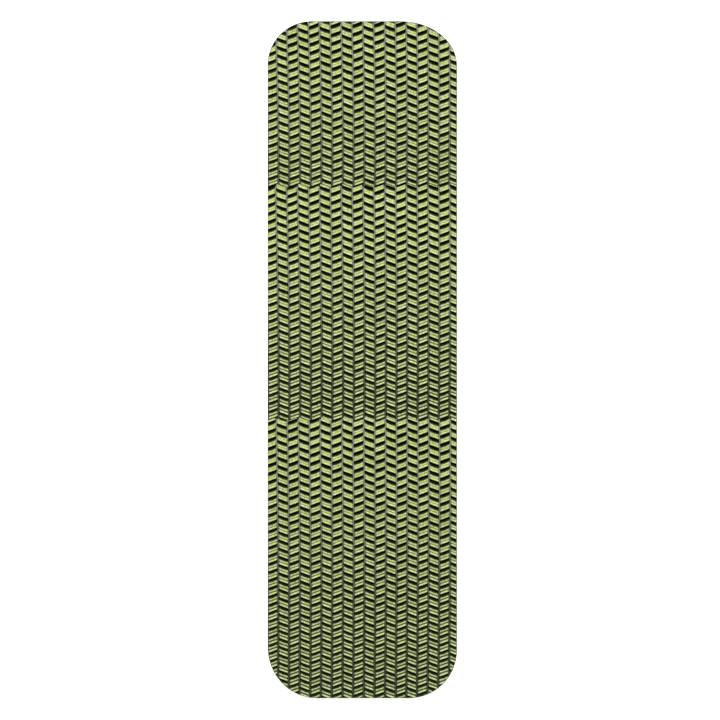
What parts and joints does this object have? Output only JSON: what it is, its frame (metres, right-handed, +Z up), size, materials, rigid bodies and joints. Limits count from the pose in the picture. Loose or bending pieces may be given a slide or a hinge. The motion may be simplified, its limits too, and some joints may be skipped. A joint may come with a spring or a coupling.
{
  "type": "stomp pad",
  "caption": "Long round-cornered foam stomp pad with a ribbed herringbone tread, an adhesive underside and a split release liner that peels off.",
  "frame": {"origin": "centre of the pad's outline, on its underside", "axes": "+Y along the pad, towards its short tread panel; +X across it; +Z up through the thickness, out of the tread"},
  "size_m": [0.0944, 0.338, 0.007],
  "materials": {
    "tread_foam": "lime green closed-cell foam, matt, moulded ribs",
    "core_foam": "grey closed-cell foam, matt",
    "base_foam": "black closed-cell foam, matt",
    "adhesive": "milky acrylic adhesive film, tacky sheen",
    "liner_paper": "off-white silicone-coated release paper, soft sheen"
  },
  "bodies": {
    "pad": {"adhesive_film": "adhesive", "base_foam": "base_foam", "core_foam": "core_foam", "tread_long_strip_01": "tread_foam", "tread_long_strip_02": "tread_foam", "tread_long_strip_03": "tread_foam", "tread_long_strip_04": "tread_foam", "tread_long_strip_05": "tread_foam", "tread_long_strip_06": "tread_foam", "tread_long_strip_07": "tread_foam", "tread_long_strip_08": "tread_foam", "tread_long_strip_09": "tread_foam", "tread_long_strip_10": "tread_foam", "tread_long_strip_11": "tread_foam", "tread_long_strip_12": "tread_foam", "tread_long_strip_13": "tread_foam", "tread_long_strip_14": "tread_foam", "tread_long_strip_15": "tread_foam", "tread_long_strip_16": "tread_foam", "tread_long_strip_17": "tread_foam", "tread_long_strip_18": "tread_foam", "tread_medium_strip_01": "tread_foam", "tread_medium_strip_02": "tread_foam", "tread_medium_strip_03": "tread_foam", "tread_medium_strip_04": "tread_foam", "tread_medium_strip_05": "tread_foam", "tread_medium_strip_06": "tread_foam", "tread_medium_strip_07": "tread_foam", "tread_medium_strip_08": "tread_foam", "tread_medium_strip_09": "tread_foam", "tread_medium_strip_10": "tread_foam", "tread_medium_strip_11": "tread_foam", "tread_medium_strip_12": "tread_foam", "tread_medium_strip_13": "tread_foam", "tread_medium_strip_14": "tread_foam", "tread_medium_strip_15": "tread_foam", "tread_medium_strip_16": "tread_foam", "tread_medium_strip_17": "tread_foam", "tread_medium_strip_18": "tread_foam", "tread_short_strip_01": "tread_foam", "tread_short_strip_02": "tread_foam", "tread_short_strip_03": "tread_foam", "tread_short_strip_04": "tread_foam", "tread_short_strip_05": "tread_foam", "tread_short_strip_06": "tread_foam", "tread_short_strip_07": "tread_foam", "tread_short_strip_08": "tread_foam", "tread_short_strip_09": "tread_foam", "tread_short_strip_10": "tread_foam", "tread_short_strip_11": "tread_foam", "tread_short_strip_12": "tread_foam", "tread_short_strip_13": "tread_foam", "tread_short_strip_14": "tread_foam", "tread_short_strip_15": "tread_foam", "tread_short_strip_16": "tread_foam", "tread_short_strip_17": "tread_foam", "tread_short_strip_18": "tread_foam"},
    "liner_long": {"release_liner_long": "liner_paper"},
    "liner_short": {"release_liner_short": "liner_paper"}
  },
  "joints": [
    {"name": "liner_long_peel", "type": "hinge", "parent": "pad", "child": "liner_long", "pos_m": [0, 0.169, 0.0003], "axis": [1, 0, 0], "range_deg": [0, 150]},
    {"name": "liner_short_peel", "type": "hinge", "parent": "pad", "child": "liner_short", "pos_m": [0, -0.169, 0.0003], "axis": [-1, 0, 0], "range_deg": [0, 150]}
  ]
}
